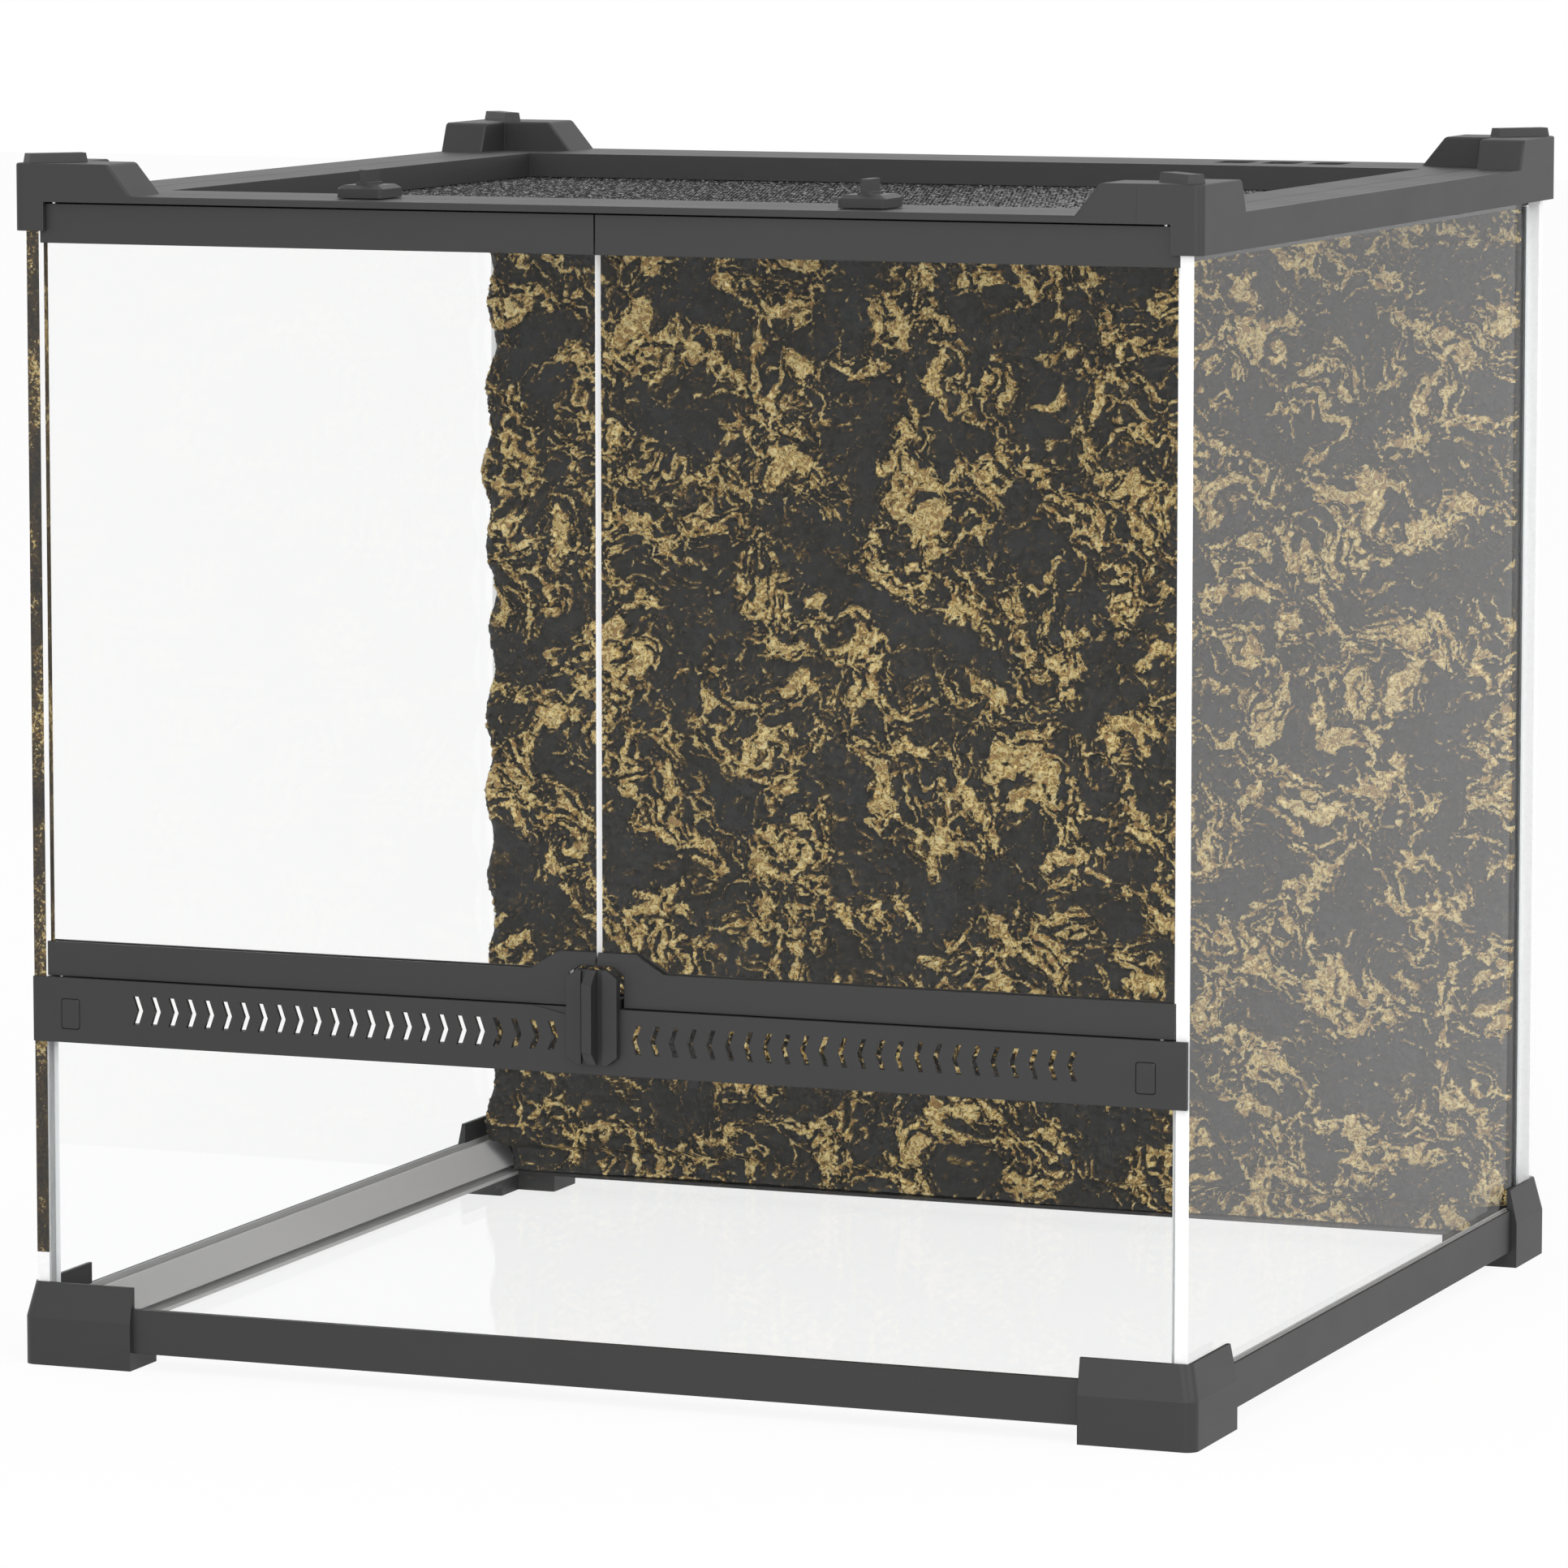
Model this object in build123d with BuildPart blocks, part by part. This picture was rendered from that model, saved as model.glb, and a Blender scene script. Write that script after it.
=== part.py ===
from build123d import *
import math
import os

# A front-opening glass terrarium. Millimetres, +X to the right, +Y to the back, +Z up.
# The origin is at the middle of the footprint, on the surface that the boots stand on.
# Most pieces are mirrored left and right: side is -1 on the left and +1 on the right.

# ---------------------------------------------------------------- driving sizes

# top frame
frame_width = 460.0
frame_depth = 436.0
frame_top = 435.5
frame_plate = 2.5          # thickness of the flat front rail
frame_seat = 5.5           # thickness of the flat over the panes
skirt_height = 13.2        # outer skirt, down from the flat
skirt_wall = 3.5
flange_height = 15.7       # inner flange behind the panes, down from the flat
flange_wall = 2.5
side_rail = 21.0
front_rail = 26.5
rear_rail = 31.0
leg_width = 11.9           # front skirt at each corner
leg_wall = 2.1
front_bevel = 0.6
fit = 0.3                  # clearance between pieces that only lie beside each other

# stacking foot on each top corner
foot_height = 11.6
foot_arm_x = 38.0          # length of its flat top along X
foot_arm_y = 43.5
foot_slope_x = 9.5         # extra length at the bottom of the sloped end
foot_slope_y = 5.0
foot_depth = 25.0          # width of the arm along X, measured along Y
foot_width = 18.0          # width of the arm along Y, measured along X
foot_corner = 3.0
foot_edge = 0.8
foot_crest = 2.5
stud_length = 22.6
stud_width = 7.0
stud_height = 3.4
stud_draft = 8             # degrees
stud_inset = 11.5
seam_left = 15.7           # front seam on the left foot, from the corner
seam_right = 24.4
lap_skin = 2.5

# glass
glass = 5.0
door_glass = 4.0
glass_side = 3.8           # outer faces of the side panes, in from the frame's sides
glass_front = 2.4          # front edges of the side panes, behind the frame's front
glass_rear = 4.6           # the rear pane, in from the frame's rear
pane_gap = 0.7             # joint between the front pane and a side pane
front_pane_lap = 5.7       # height of the front pane behind the ventilation strip
bead = 2.5
bead_bottom = 24.0

# bottom rails
base_wall = 1.8
base_bottom = 6.5
base_top = 23.0
base_sole = 1.5
base_web = 1.3
base_web_height = 15.5
base_lip_in = 18.0         # inner edge of the sloped lip, from the rail's outer face
base_lip_edge = 0.8
base_sole_in = 20.0
floor_glass = 4.0

# boots
boot_height = 31.0
boot_straight = 17.8
boot_skin = 2.45
boot_taper = 2.8
boot_corner = 4.5
boot_front_x = 44.2
boot_front_y = 47.4
boot_rear_x = 38.7
boot_rear_y = 40.0

# ventilation strip
vent_front = 0.5           # behind the frame's front
vent_inset = 0.4           # ends of the strip, in from the side panes' outer faces
vent_top = 146.0
vent_height = 24.2
vent_wall = 1.6
chevrons = 24
chevron_pitch = 7.24
chevron_first = 14.2       # tip nearest the middle
chevron_height = 10.6
chevron_stroke = 2.25
chevron_reach = 4.1        # from the open ends to the tip
chevron_drop = 10.8        # middle of the holes, down from the strip's top
cover_width = 7.2
cover_height = 11.1
cover_depth = 1.2
cover_proud = 0.4
cover_bevel = 0.35
cover_inset = 15.3         # middle of the cover, in from the strip's end
cover_drop = 13.5
cover_corner = 1.0
stop_wall = 1.6
stop_height = 4.5
stop_drop = 9.0            # the upper door stop, down from the front rail
stop_inset = 11.5          # ends of the door stops, in from the hinges
pocket_outer = 24.4        # finger pocket beside the latch
pocket_inner = 11.6
pocket_drop = 2.7
pocket_depth = 0.8

# doors
door_front = 2.4
door_gap = 0.6             # between a door and the side pane beside it
door_clear = 2.7           # room for the hinge edge of a door as it turns
door_split = 0.6
door_glass_split = 0.8
door_glass_inset = 0.6
door_head_gap = 0.7        # under the front rail
door_top_strip = 14.4
door_foot_gap = 0.4        # over the ventilation strip
door_bottom_strip = 12.7
strip_wall = 1.6
strip_web_top = 5.3
strip_web_bottom = 5.0
hinge_inset = 5.1          # hinge line, in from the door's outer end
hinge_y = 3.9              # behind the frame's front
pin_radius = 1.0
pin_running = 0.05
pin_press = 0.02
pin_upper_reach = 8.0
pin_lower_reach = 8.0
pin_boss_half = 4.0
tab_base = 26.0
tab_crown = 15.0
tab_height = 6.9           # above the strip
tab_bevel = 2.5
notch_gap = 1.0            # round the latch plate

# front latch
latch_width = 19.7
latch_height = 34.5
latch_plate = 2.5
latch_cut_x = 3.8
latch_cut_z = 2.9
latch_drop = 3.0           # latch axis, down from the ventilation strip's top
latch_gap = 0.3
ridge_width = 3.8
ridge_height = 4.8
groove_width = 2.2
groove_depth = 1.2
latch_spindle = 2.0
latch_running = 0.05
retainer_radius = 4.0
retainer_thick = 1.2
tongue_inset = 0.35        # the tongue behind the latch plate, in from the plate's outline
hump_height = 3.5

# lid
lid_gap = 0.3
lid_plate = 3.0
lid_border = 18.7          # width of the lid's flat, at the sides and the rear
lid_border_front = 23.2
lid_wall = 2.0
lid_drop = 9.5
lid_flange = 7.0
lid_flange_thick = 1.5
ledge_width = 11.0
ledge_thick = 2.2
mesh_thick = 0.8
mesh_across = 16
mesh_along = 14
mesh_bar = 1.8
retainer_step = 1.0        # the retaining frame, out from the opening
retainer_drop = 1.2
retainer_width = 5.0

# lid latches
knob_x = 97.5
knob_inset = 3.6           # knob axis, in from the lid's front edge
knob_forward = 6.75        # middle of the knob's plate, in front of its axis
knob_width = 18.0
knob_length = 19.5
knob_thick = 4.7
knob_crown = 1.3           # height of the sloped rim on top of the plate
crown_slope = 58           # degrees from upright
knob_cut = 1.3
fin_thick = 2.8
fin_length = 12.0
fin_height = 5.5
fin_foot = 0.9
cam_length = 27.0
cam_width = 8.0
cam_thick = 2.7
knob_spindle = 2.5

# cable slots in the rear rail
slot_width = 14.2
slot_length = 18.2
slot_pitch = 19.4
slot_x = 123.2
slot_back_wall = 11.0      # from the frame's rear face to the slots
slot_corner = 3.0

# backdrop
backdrop_thick = 24.6      # at the crests of its rock face
backdrop_cut = 3.0
backdrop_swells = 4        # waves in the torn left edge, long and short
backdrop_ripples = 9
backdrop_wave = 2.0        # half height of either wave
backdrop_points = 49
rock_depth = 6.0           # from the crests of the rock face to its hollows
rock_columns = 14          # facets of the rock face, each a pair of triangles
rock_rows = 13
rock_turns_x = 3.6         # swells of the rock face over its width and its height
rock_turns_z = 3.1
rock_bend = 1.3            # radians by which the swells lean over each other

# ---------------------------------------------------------------- worked-out places

frame_half = frame_width / 2
frame_floor = frame_top - frame_plate
pane_top = frame_top - frame_seat
skirt_bottom = frame_top - skirt_height
flange_bottom = frame_top - flange_height
foot_top = frame_top + foot_height
latch_reach = latch_plate + latch_gap + ridge_height - vent_front
front = (latch_reach - frame_depth) / 2
back = front + frame_depth
glass_half = frame_half - glass_side
glass_y0 = front + glass_front
glass_y1 = back - glass_rear
glass_inner = glass_half - glass
rear_inner = glass_y1 - glass
lid_y0 = front + front_rail + lid_gap
lid_y1 = back - rear_rail - lid_gap
lid_half = frame_half - side_rail - lid_gap
lid_bottom = frame_top - lid_drop
open_half = lid_half - lid_border
open_y0 = lid_y0 + lid_border_front
open_y1 = lid_y1 - lid_border
seam_x = frame_half - seam_right
ledge_top = frame_top - lid_plate - lid_gap
base_half = glass_half + base_wall
base_y0 = glass_y0 - base_wall
base_y1 = glass_y1 + base_wall
floor_z0 = base_bottom + base_sole
floor_z1 = floor_z0 + floor_glass
vent_bottom = vent_top - vent_height
vent_half = glass_half - vent_inset
front_pane_top = vent_bottom + front_pane_lap
door_y0 = front + door_front
door_glass_y0 = door_y0 + strip_wall
door_glass_y1 = door_glass_y0 + door_glass
door_y1 = door_glass_y1 + strip_wall
door_outer = glass_inner - door_gap
door_top = frame_floor - door_head_gap
door_bottom = vent_top + door_foot_gap
tab_foot = door_bottom + door_bottom_strip
tab_top = tab_foot + tab_height
hinge_x = door_outer - hinge_inset
hinge_place = front + hinge_y
sweep = door_y1 + door_clear
stop_half = hinge_x - stop_inset
vent_y0 = front + vent_front
vent_y1 = vent_y0 + vent_wall
stop_y0 = door_y1 + fit
notch_half = latch_width / 2 + notch_gap
latch_back = vent_y0 - latch_gap
latch_face = latch_back - latch_plate
latch_level = vent_top - latch_drop
latch_top = latch_level + latch_height / 2
notch_top = latch_top + notch_gap

os.makedirs("parts", exist_ok=True)


# ---------------------------------------------------------------- helpers

def block(x0, x1, y0, y1, z0, z1, mode=Mode.ADD):
    """A box between two corners, in the open part."""
    middle = ((x0 + x1) / 2, (y0 + y1) / 2, (z0 + z1) / 2)
    with Locations(middle):
        Box(abs(x1 - x0), abs(y1 - y0), abs(z1 - z0), mode=mode)


def prism_x(outline, x0, x1, mode=Mode.ADD):
    """The outline, given as (y, z) points, run along X."""
    with BuildSketch(Plane.YZ.offset(x0)) as profile:
        with BuildLine():
            Polyline(*outline, close=True)
        make_face()
    extrude(profile.sketch, amount=x1 - x0, mode=mode)


def prism_y(outline, y0, y1, mode=Mode.ADD):
    """The outline, given as (x, z) points, run along Y."""
    with BuildSketch(Plane.XZ.offset(-y0)) as profile:
        with BuildLine():
            Polyline(*outline, close=True)
        make_face()
    extrude(profile.sketch, amount=y0 - y1, mode=mode)


def prism_z(outline, z0, z1, mode=Mode.ADD):
    """The outline, given as (x, y) points, run along Z."""
    with BuildSketch(Plane.XY.offset(z0)) as profile:
        with BuildLine():
            Polyline(*outline, close=True)
        make_face()
    extrude(profile.sketch, amount=z1 - z0, mode=mode)


def post_z(x, y, radius, z0, z1, mode=Mode.ADD):
    """An upright round bar."""
    with Locations((x, y, (z0 + z1) / 2)):
        Cylinder(radius, z1 - z0, mode=mode)


def post_y(x, z, radius, y0, y1, mode=Mode.ADD):
    """A round bar along Y."""
    with Locations((x, (y0 + y1) / 2, z)):
        Cylinder(radius, y1 - y0, rotation=(90, 0, 0), mode=mode)


def finish(piece, name):
    """Label a piece and write its file."""
    piece.part.label = name
    export_step(piece.part, f"parts/{name}.step")


def hand(side):
    """The word for a side."""
    return "left" if side < 0 else "right"


def octagon(x, y, width, length, cut_x, cut_y):
    """A rectangle with its corners cut."""
    half_x = width / 2
    half_y = length / 2
    corners = []
    for sx, sy in ((1, 1), (-1, 1), (-1, -1), (1, -1)):
        along = (x + sx * (half_x - cut_x), y + sy * half_y)
        beside = (x + sx * half_x, y + sy * (half_y - cut_y))
        corners += [beside, along] if sx * sy > 0 else [along, beside]
    return corners


# ---------------------------------------------------------------- bottom frame

def base_section():
    """The bottom rail's section, as (distance in from the outer face, height)."""
    slot_in = base_wall + glass + fit
    web_in = slot_in + base_web
    floor_in = web_in + base_web
    crest = floor_z0 + base_web_height - base_sole
    return [
        (0, base_bottom),
        (0, base_top),
        (base_wall, base_top),
        (base_wall, floor_z0),
        (slot_in, floor_z0),
        (slot_in, crest),
        (web_in, crest),
        (base_lip_in, floor_z1 + base_lip_edge),
        (base_lip_in, floor_z1),
        (floor_in, floor_z1),
        (floor_in, floor_z0),
        (base_sole_in, floor_z0),
        (base_sole_in, base_bottom),
    ]


def base_rail_side(side):
    """A side bottom rail, mitred at both ends."""
    outer = side * base_half
    inner = side * (base_half - base_sole_in)
    with BuildPart() as rail:
        prism_y([(side * (base_half - u), z) for u, z in base_section()], base_y0, base_y1)
        for end, inward in ((base_y0, 1), (base_y1, -1)):
            corner = [(outer, end), (inner, end), (inner, end + inward * base_sole_in)]
            prism_z(corner, base_bottom, base_top, Mode.SUBTRACT)
    finish(rail, f"bottom_rail_{hand(side)}")


def base_rail_end(name, outer, inward):
    """The front or rear bottom rail, mitred at both ends."""
    inner = outer + inward * base_sole_in
    with BuildPart() as rail:
        section = [(outer + inward * u, z) for u, z in base_section()]
        prism_x(section, -base_half, base_half)
        for side in (-1, 1):
            corner = [
                (side * base_half, outer),
                (side * base_half, inner),
                (side * (base_half - base_sole_in), inner),
            ]
            prism_z(corner, base_bottom, base_top, Mode.SUBTRACT)
    finish(rail, name)


def boot(side, end):
    """A corner boot: an L-shaped foot that wraps the rails. end is -1 in front, +1 behind."""
    long_x = boot_front_x if end < 0 else boot_rear_x
    long_y = boot_front_y if end < 0 else boot_rear_y
    rail_y = base_y0 if end < 0 else base_y1
    face_x = base_half + boot_skin
    face_y = rail_y + end * boot_skin
    arm = base_sole_in + boot_skin
    with BuildPart() as shell:
        ell = [
            (side * face_x, face_y),
            (side * (face_x - long_x), face_y),
            (side * (face_x - long_x), face_y - end * arm),
            (side * (face_x - arm), face_y - end * arm),
            (side * (face_x - arm), face_y - end * long_y),
            (side * face_x, face_y - end * long_y),
        ]
        prism_z(ell, 0, boot_height)
        side_taper = [
            (side * face_x, boot_straight),
            (side * (face_x - boot_taper), boot_height),
            (side * face_x, boot_height),
        ]
        prism_y(side_taper, face_y, face_y - end * long_y, Mode.SUBTRACT)
        end_taper = [
            (face_y, boot_straight),
            (face_y - end * boot_taper, boot_height),
            (face_y, boot_height),
        ]
        prism_x(end_taper, side * face_x, side * (face_x - long_x), Mode.SUBTRACT)
        upright = shell.edges().sort_by_distance((side * face_x, face_y, boot_straight / 2))[0]
        slanted = shell.edges().sort_by_distance(
            (side * (face_x - boot_taper / 2), face_y - end * boot_taper / 2, (boot_straight + boot_height) / 2)
        )[0]
        fillet([upright, slanted], boot_corner)
        inner_y = rail_y - end * long_y
        block(0, side * base_half, rail_y, inner_y, base_bottom, base_top, Mode.SUBTRACT)
        glass_y = glass_y0 if end < 0 else glass_y1
        block(0, side * glass_half, glass_y, inner_y, base_bottom, boot_height, Mode.SUBTRACT)
    place = "front" if end < 0 else "rear"
    finish(shell, f"boot_{place}_{hand(side)}")


for side in (-1, 1):
    base_rail_side(side)
    for end in (-1, 1):
        boot(side, end)
base_rail_end("bottom_rail_front", base_y0, 1)
base_rail_end("bottom_rail_rear", base_y1, -1)

# ---------------------------------------------------------------- fixed glass

for side in (-1, 1):
    with BuildPart() as side_pane:
        block(side * glass_inner, side * glass_half, glass_y0, rear_inner, floor_z0, pane_top)
    finish(side_pane, f"pane_{hand(side)}")

with BuildPart() as rear_pane:
    block(-glass_half, glass_half, rear_inner, glass_y1, floor_z0, pane_top)
finish(rear_pane, "pane_rear")

front_pane_half = glass_inner - pane_gap
with BuildPart() as front_pane:
    block(-front_pane_half, front_pane_half, glass_y0, glass_y0 + glass, floor_z0, front_pane_top)
finish(front_pane, "pane_front")

floor_inset = base_wall + glass + 2 * base_web + 2 * fit
with BuildPart() as floor_pane:
    floor_half = base_half - floor_inset
    block(-floor_half, floor_half, base_y0 + floor_inset, base_y1 - floor_inset, floor_z0, floor_z1)
finish(floor_pane, "pane_floor")


def silicone(side, end):
    """A three-cornered bead in an upright glass corner."""
    corner_x = side * glass_inner
    corner_y = glass_y0 + glass if end < 0 else rear_inner
    top = vent_bottom - fit if end < 0 else flange_bottom - fit
    with BuildPart() as strip:
        triangle = [
            (corner_x, corner_y),
            (corner_x - side * bead, corner_y),
            (corner_x, corner_y - end * bead),
        ]
        prism_z(triangle, bead_bottom, top)
        if end < 0:
            block(side * front_pane_half, corner_x, glass_y0, corner_y, bead_bottom, top)
    place = "front" if end < 0 else "rear"
    finish(strip, f"silicone_{place}_{hand(side)}")


for side in (-1, 1):
    for end in (-1, 1):
        silicone(side, end)

# ---------------------------------------------------------------- top frame


def foot(side, end, corner):
    """One stacking foot: its corner part with the stud, or else the rest of its arm along X."""
    corner_y = front if end < 0 else back
    corner_x = side * frame_half
    low_x = corner_x - side * (foot_arm_x + foot_slope_x)
    high_x = corner_x - side * foot_arm_x
    low_y = corner_y - end * (foot_arm_y + foot_slope_y)
    high_y = corner_y - end * foot_arm_y
    seam = side * seam_x
    skin_y = corner_y - end * lap_skin
    lap = seam
    if side < 0 and end < 0:
        lap = -frame_half + seam_left
    with BuildPart() as shape:
        across = [(corner_x, frame_top), (low_x, frame_top), (high_x, foot_top), (corner_x, foot_top)]
        prism_y(across, corner_y, corner_y - end * foot_depth)
        along = [(corner_y, frame_top), (low_y, frame_top), (high_y, foot_top), (corner_y, foot_top)]
        prism_x(along, corner_x, corner_x - side * foot_width)
        middle = (frame_top + foot_top) / 2
        upright = shape.edges().sort_by_distance((corner_x, corner_y, middle))[0]
        fillet(upright, foot_corner)
        crest_x = shape.edges().sort_by_distance((high_x, corner_y - end * foot_depth / 2, foot_top))[0]
        crest_y = shape.edges().sort_by_distance((corner_x - side * foot_width / 2, high_y, foot_top))[0]
        fillet([crest_x, crest_y], foot_crest)
        rim = shape.faces().sort_by(Axis.Z)[-1].edges()
        fillet(rim, foot_edge)
        if corner:
            block(seam, low_x, corner_y, low_y, frame_top, foot_top, Mode.SUBTRACT)
            if lap != seam:
                block(lap, seam, corner_y, skin_y, frame_top, foot_top, Mode.SUBTRACT)
            with BuildSketch(Plane.XY.offset(foot_top)) as bar:
                middle_x = corner_x - side * stud_inset
                middle_y = corner_y - end * stud_inset
                with Locations(Location((middle_x, middle_y), 45 * side * end)):
                    Rectangle(stud_length, stud_width)
            extrude(bar.sketch, amount=stud_height, taper=stud_draft)
        else:
            block(corner_x, lap, corner_y, skin_y, frame_top, foot_top, Mode.SUBTRACT)
            block(corner_x, seam, skin_y, low_y, frame_top, foot_top, Mode.SUBTRACT)
    return shape.part


def side_section():
    """The side rail's section, as (distance in from the outer face, height)."""
    pane_in = frame_half - glass_inner + fit
    return [
        (0, skirt_bottom),
        (0, frame_top),
        (side_rail, frame_top),
        (side_rail, frame_top - frame_seat),
        (pane_in + flange_wall, frame_top - frame_seat),
        (pane_in + flange_wall, flange_bottom),
        (pane_in, flange_bottom),
        (pane_in, frame_top - frame_seat),
        (skirt_wall, frame_top - frame_seat),
        (skirt_wall, skirt_bottom),
    ]


def top_side(side):
    """A side moulding of the top frame: rail, both corners with their feet, ledge for the lid."""
    outer = side * frame_half
    seam = side * seam_x
    rail_in = side * (frame_half - side_rail)
    flange_x = side * (glass_inner - fit - flange_wall)
    skirt_in = outer - side * skirt_wall
    rear_y = back - rear_rail
    groove_y0 = rear_inner - fit
    groove_y1 = glass_y1 + fit
    with BuildPart() as moulding:
        prism_y([(outer - side * u, z) for u, z in side_section()], sweep, back)
        block(outer, seam, front, front + front_rail, frame_floor, frame_top)
        block(outer, skirt_in, front, sweep, skirt_bottom, frame_floor)
        block(outer, outer - side * leg_width, front, front + leg_wall, skirt_bottom, frame_floor)
        ledge = rail_in - side * ledge_width
        block(rail_in, ledge, front + front_rail, rear_y, ledge_top - ledge_thick, ledge_top)
        block(outer, seam, rear_y, back, frame_floor, frame_top)
        block(outer, seam, groove_y1, back, skirt_bottom, frame_top)
        block(flange_x, seam, groove_y0 - flange_wall, groove_y0, flange_bottom, frame_top)
        block(skirt_in, seam, groove_y0, groove_y1, pane_top, frame_floor)
        block(skirt_in, seam, groove_y0, groove_y1, flange_bottom, pane_top, Mode.SUBTRACT)
        for corner_y in (front, back):
            upright = moulding.edges().filter_by(Axis.Z).sort_by_distance((outer, corner_y, frame_floor))[0]
            fillet(upright, foot_corner)
        if side < 0:
            lap = outer - side * seam_left
            block(lap, seam, front, front + lap_skin, frame_floor, frame_top, Mode.SUBTRACT)
        for end in (-1, 1):
            add(foot(side, end, True))
        pin_top = frame_floor + pin_upper_reach + fit
        post_z(side * hinge_x, hinge_place, pin_radius + pin_running, frame_floor, pin_top, Mode.SUBTRACT)
    finish(moulding, f"top_frame_{hand(side)}")


for side in (-1, 1):
    top_side(side)

with BuildPart() as front_moulding:
    block(-seam_x, seam_x, front, front + front_rail, frame_floor, frame_top)
    block(-frame_half + seam_left, -seam_x, front, front + lap_skin, frame_floor, frame_top)
    block(-stop_half, stop_half, stop_y0, stop_y0 + stop_wall, frame_floor - stop_drop, frame_floor)
    for side in (-1, 1):
        add(foot(side, -1, False))
    bevel_half = frame_half - foot_arm_x - foot_slope_x
    bevel = [(front, frame_top - front_bevel), (front + front_bevel, frame_top), (front, frame_top)]
    prism_x(bevel, -bevel_half, bevel_half, Mode.SUBTRACT)
finish(front_moulding, "top_frame_front")

with BuildPart() as rear_moulding:
    rail_y0 = back - rear_rail
    flange_y1 = rear_inner - fit
    flange_y0 = flange_y1 - flange_wall
    block(-seam_x, seam_x, rail_y0, back, frame_floor, frame_top)
    block(-seam_x, seam_x, flange_y0, back, pane_top, frame_floor)
    block(-seam_x, seam_x, glass_y1 + fit, back, skirt_bottom, pane_top)
    block(-seam_x, seam_x, flange_y0, flange_y1, flange_bottom, pane_top)
    ledge_half = frame_half - side_rail - ledge_width - fit
    block(-ledge_half, ledge_half, rail_y0 - ledge_width, rail_y0, ledge_top - ledge_thick, ledge_top)
    block(-ledge_half, ledge_half, rail_y0, rail_y0 + lid_wall, ledge_top - ledge_thick, frame_floor)
    slot_y1 = back - slot_back_wall
    with BuildSketch(Plane.XY.offset(flange_bottom)):
        for step in (-1, 0, 1):
            with Locations((slot_x + step * slot_pitch, slot_y1 - slot_length / 2)):
                RectangleRounded(slot_width, slot_length, slot_corner)
    extrude(amount=flange_height, mode=Mode.SUBTRACT)
    for side in (-1, 1):
        add(foot(side, 1, False))
finish(rear_moulding, "top_frame_rear")

# ---------------------------------------------------------------- ventilation strip


def chevron(tip, point):
    """One chevron hole, as (x, z) points; point is the way that its tip looks."""
    ends = tip - point * chevron_reach
    level = vent_top - chevron_drop
    half = chevron_height / 2
    return [
        (tip, level),
        (ends + point * chevron_stroke, level + half),
        (ends, level + half),
        (tip - point * chevron_stroke, level),
        (ends, level - half),
        (ends + point * chevron_stroke, level - half),
    ]


web_half = glass_inner - fit
with BuildPart() as vent:
    block(-vent_half, vent_half, vent_y0, vent_y1, vent_bottom, vent_top)
    block(-web_half, web_half, vent_y1, stop_y0 + stop_wall, vent_top - vent_wall, vent_top)
    block(-stop_half, stop_half, stop_y0, stop_y0 + stop_wall, vent_top, vent_top + stop_height)
    lip_y0 = glass_y0 + glass + fit
    lip_y1 = lip_y0 + vent_wall
    block(-web_half, web_half, vent_y1, lip_y1, front_pane_top, front_pane_top + vent_wall)
    block(-web_half, web_half, lip_y0, lip_y1, vent_bottom, front_pane_top)
    for side in (-1, 1):
        boss_bottom = vent_top - pin_lower_reach - vent_wall
        boss_in = side * (hinge_x - pin_boss_half)
        boss_out = side * (hinge_x + pin_boss_half)
        boss_back = hinge_place + pin_boss_half
        block(boss_in, boss_out, vent_y1, boss_back, boss_bottom, vent_top)
        bore_bottom = vent_top - pin_lower_reach - fit
        post_z(side * hinge_x, hinge_place, pin_radius + pin_running, bore_bottom, vent_top, Mode.SUBTRACT)
    tongue_half = latch_width / 2 - tongue_inset
    tongue_top = latch_top - tongue_inset
    tongue = [
        (-tongue_half, vent_top),
        (-tongue_half, tongue_top - latch_cut_z),
        (-tongue_half + latch_cut_x, tongue_top),
        (tongue_half - latch_cut_x, tongue_top),
        (tongue_half, tongue_top - latch_cut_z),
        (tongue_half, vent_top),
    ]
    prism_y(tongue, vent_y0, vent_y1)
    hump_top = vent_top + hump_height
    block(-tongue_half, tongue_half, vent_y1, door_y1, vent_top - vent_wall, hump_top)
    hollow_half = tongue_half - vent_wall
    block(-hollow_half, hollow_half, vent_y1, door_y1 - vent_wall,
          vent_top - vent_wall, hump_top - vent_wall, Mode.SUBTRACT)
    post_y(0, latch_level, latch_spindle + latch_running, vent_y0, vent_y1, Mode.SUBTRACT)
    with BuildSketch(Plane.XZ.offset(-vent_y0)) as holes:
        for side in (-1, 1):
            places = [(side * number * chevron_pitch, 0) for number in range(chevrons)]
            with Locations(*places):
                Polygon(*chevron(side * chevron_first, -side), align=None)
    extrude(holes.sketch, amount=-vent_wall, mode=Mode.SUBTRACT)
    for side in (-1, 1):
        with BuildSketch(Plane.XZ.offset(-vent_y0)):
            with Locations((side * (vent_half - cover_inset), vent_top - cover_drop)):
                RectangleRounded(cover_width + fit, cover_height + fit, cover_corner)
        extrude(amount=-cover_depth, mode=Mode.SUBTRACT)
    pocket = [
        (-pocket_outer, vent_top),
        (-pocket_inner, vent_top - pocket_drop),
        (-pocket_inner, vent_top),
    ]
    prism_y(pocket, vent_y0, vent_y0 + pocket_depth, Mode.SUBTRACT)
finish(vent, "vent_strip")

for side in (-1, 1):
    with BuildPart() as cover:
        with BuildSketch(Plane.XZ.offset(-vent_y0 - cover_depth)):
            with Locations((side * (vent_half - cover_inset), vent_top - cover_drop)):
                RectangleRounded(cover_width, cover_height, cover_corner)
        extrude(amount=cover_depth + cover_proud)
        chamfer(cover.faces().sort_by(Axis.Y)[0].edges(), cover_bevel)
    finish(cover, f"vent_cover_{hand(side)}")

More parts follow.
